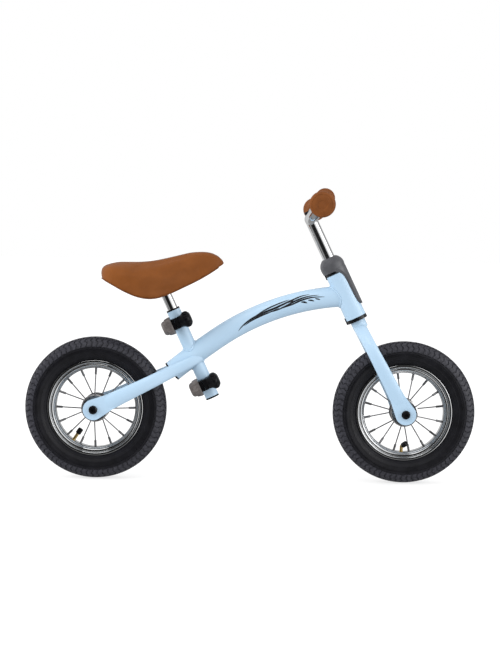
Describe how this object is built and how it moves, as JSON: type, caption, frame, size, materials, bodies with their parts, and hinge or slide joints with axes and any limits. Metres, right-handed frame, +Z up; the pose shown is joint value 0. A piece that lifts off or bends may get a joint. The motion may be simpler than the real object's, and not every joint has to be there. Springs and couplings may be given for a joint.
{
  "type": "balance bike",
  "caption": "Child's balance bike with a curved oval main tube, spoked pneumatic wheels, swept handlebar, slanted seat tube with knob clamps and a moulded saddle.",
  "frame": {"origin": "on the ground under the middle of the bike, midway between the two axles", "axes": "+X forward, +Y to the rider's left, +Z up"},
  "size_m": [0.818, 0.3628, 0.5285],
  "materials": {
    "frame_paint": "gloss",
    "chrome": "polished",
    "black_plastic": "satin",
    "grey_plastic": "satin",
    "grip_rubber": "satin",
    "saddle_cover": "satin",
    "tyre_rubber": "matte",
    "black_steel": "satin",
    "steel": "satin",
    "brass": "satin"
  },
  "bodies": {
    "frame": {"head_tube": "frame_paint", "main_tube": "frame_paint", "seat_tube": "frame_paint", "rear_leg_left": "frame_paint", "rear_leg_right": "frame_paint", "main_tube_plug": "black_plastic", "seat_tube_plug": "black_plastic", "seat_post_bush": "black_plastic", "upper_clamp_collar": "black_plastic", "lower_clamp_collar": "black_plastic", "clamp_nuts": "grey_plastic", "clamp_bolts": "black_steel", "headset_upper_cup": "black_steel", "headset_lower_cup": "black_steel", "headset_bearings": "steel", "head_cover": "grey_plastic", "rear_axle": "steel", "rear_axle_spacers": "steel", "rear_axle_bolts": "black_steel"},
    "rear_wheel": {"rear_tyre": "tyre_rubber", "rear_inner_tube": "tyre_rubber", "rear_rim": "chrome", "rear_rim_tape": "black_plastic", "rear_hub": "steel", "rear_spokes": "chrome", "rear_spoke_nipples": "chrome", "rear_wheel_bearings": "steel", "rear_valve_stem": "brass", "rear_valve_cap": "black_plastic"},
    "fork": {"steerer_tube": "steel", "steerer_lock_nut": "steel", "crown_sleeve": "frame_paint", "fork_leg_left": "frame_paint", "fork_leg_right": "frame_paint", "front_axle": "steel", "front_axle_spacers": "steel", "front_axle_bolts": "black_steel"},
    "front_wheel": {"front_tyre": "tyre_rubber", "front_inner_tube": "tyre_rubber", "front_rim": "chrome", "front_rim_tape": "black_plastic", "front_hub": "steel", "front_spokes": "chrome", "front_spoke_nipples": "chrome", "front_wheel_bearings": "steel", "front_valve_stem": "brass", "front_valve_cap": "black_plastic"},
    "handlebar": {"stem_tube": "chrome", "stem_wedge": "steel", "stem_bolt": "black_steel", "handlebar_tube": "chrome", "grip_left": "grip_rubber", "grip_right": "grip_rubber"},
    "seat": {"seat_post": "chrome", "saddle_base": "black_plastic", "saddle_pad": "saddle_cover"},
    "upper_knob": {"upper_clamp_knob": "black_plastic"},
    "lower_knob": {"lower_clamp_knob": "black_plastic"}
  },
  "joints": [
    {"name": "rear_wheel_spin", "type": "hinge", "parent": "frame", "child": "rear_wheel", "pos_m": [-0.28, 0, 0.129], "axis": [0, 1, 0], "continuous": true},
    {"name": "steering", "type": "hinge", "parent": "frame", "child": "fork", "pos_m": [0.1914, 0, 0.2977], "axis": [-0.4352, 0, 0.9003], "range_deg": [-45, 45]},
    {"name": "front_wheel_spin", "type": "hinge", "parent": "fork", "child": "front_wheel", "pos_m": [0.28, 0, 0.129], "axis": [0, 1, 0], "continuous": true},
    {"name": "handlebar_height", "type": "slide", "parent": "fork", "child": "handlebar", "axis": [-0.4352, 0, 0.9003], "range_m": [-0.045, 0.02]},
    {"name": "seat_height", "type": "slide", "parent": "frame", "child": "seat", "axis": [-0.4226, 0, 0.9063], "range_m": [-0.015, 0.06]},
    {"name": "upper_knob_turn", "type": "hinge", "parent": "frame", "child": "upper_knob", "pos_m": [-0.13104, -0.03, 0.28634], "axis": [0.9063, 0, 0.4226], "range_deg": [0, 720]},
    {"name": "lower_knob_turn", "type": "hinge", "parent": "frame", "child": "lower_knob", "pos_m": [-0.0799, -0.03, 0.17668], "axis": [0.9063, 0, 0.4226], "range_deg": [0, 720]}
  ]
}
